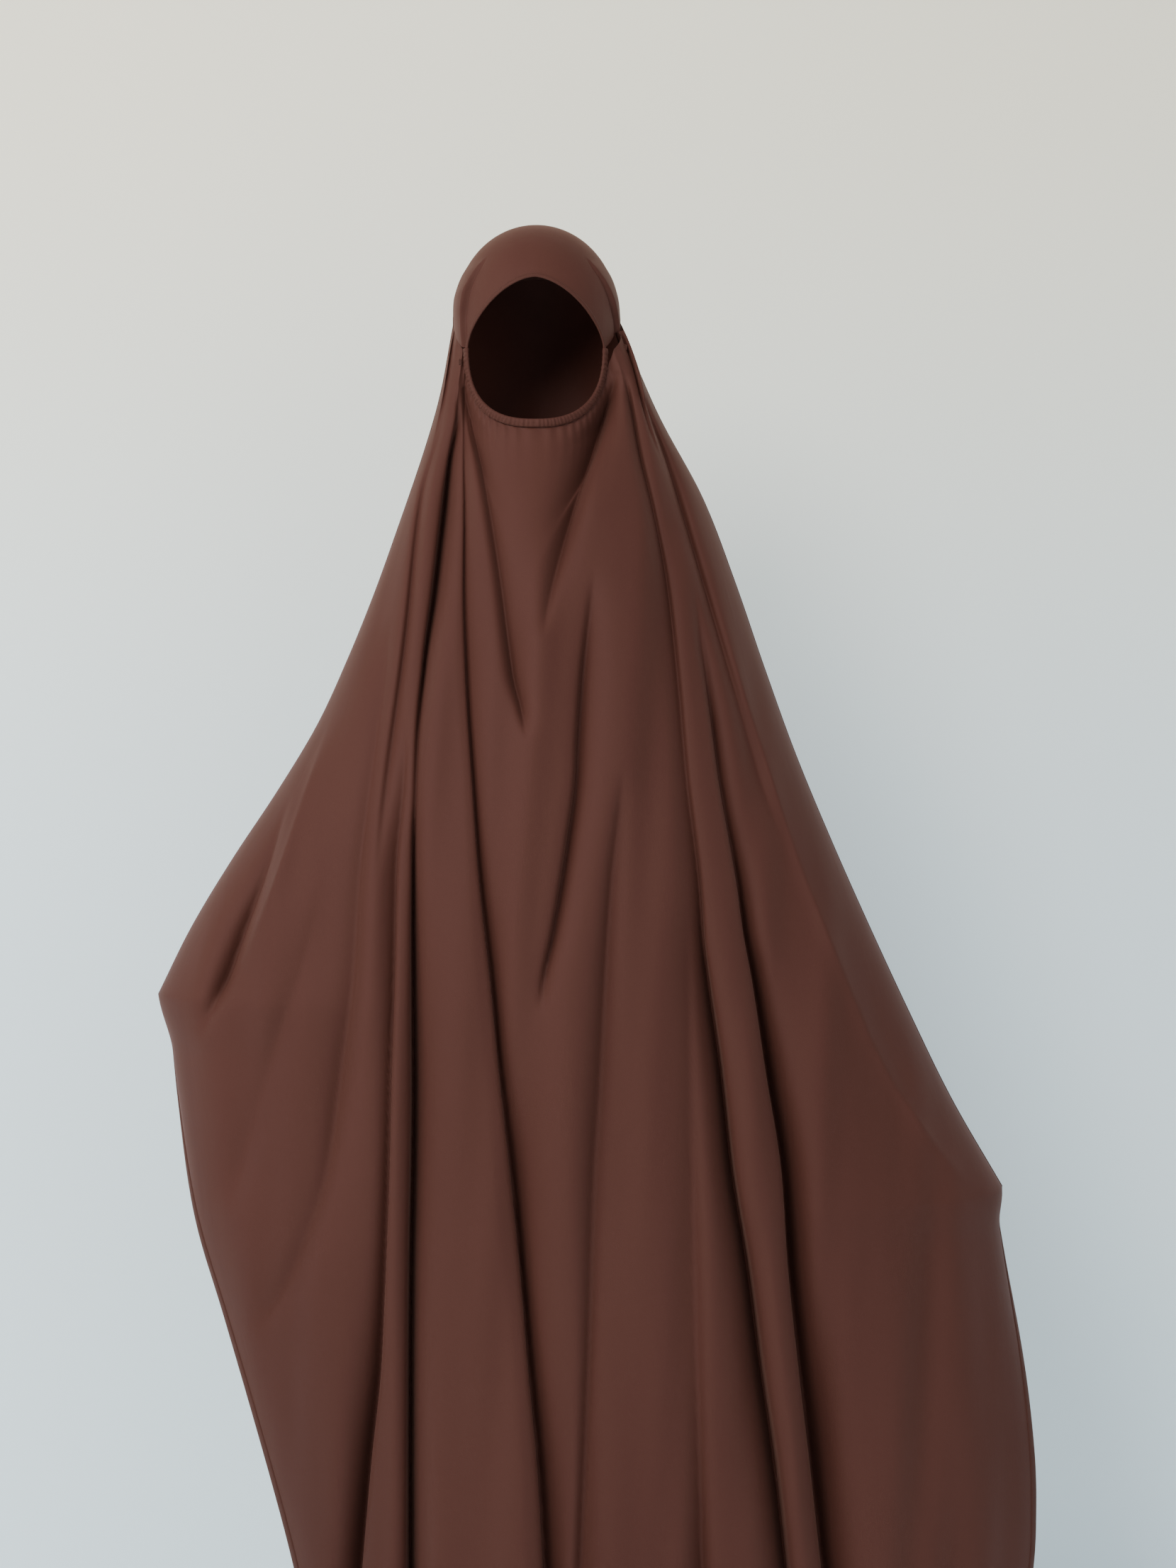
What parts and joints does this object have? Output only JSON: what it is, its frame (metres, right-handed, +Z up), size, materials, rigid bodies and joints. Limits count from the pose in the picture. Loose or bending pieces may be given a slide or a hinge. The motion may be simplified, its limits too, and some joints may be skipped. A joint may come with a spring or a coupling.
{
  "type": "khimar veil",
  "caption": "Long overhead khimar veil of plain crepe, worn: a hood with a face opening, a chin band, and front and back drapes that are open at the sides below the wrists",
  "frame": {"origin": "where the crown of the head meets the inside of the hood", "axes": "+Z up the wearer's head, -Y the way the face opening looks, +X to the right seen from the front"},
  "size_m": [0.9416, 0.3531, 1.5809],
  "materials": {
    "crepe": "smooth matt crepe, reddish brown, with a soft sheen",
    "crepe_hem": "the same crepe turned and stitched, a little darker"
  },
  "bodies": {
    "root": {"hood": "crepe", "forehead_hem": "crepe_hem", "chin_band": "crepe_hem", "veil_front": "crepe", "veil_back": "crepe", "hem_front": "crepe_hem", "hem_back": "crepe_hem"}
  },
  "joints": []
}
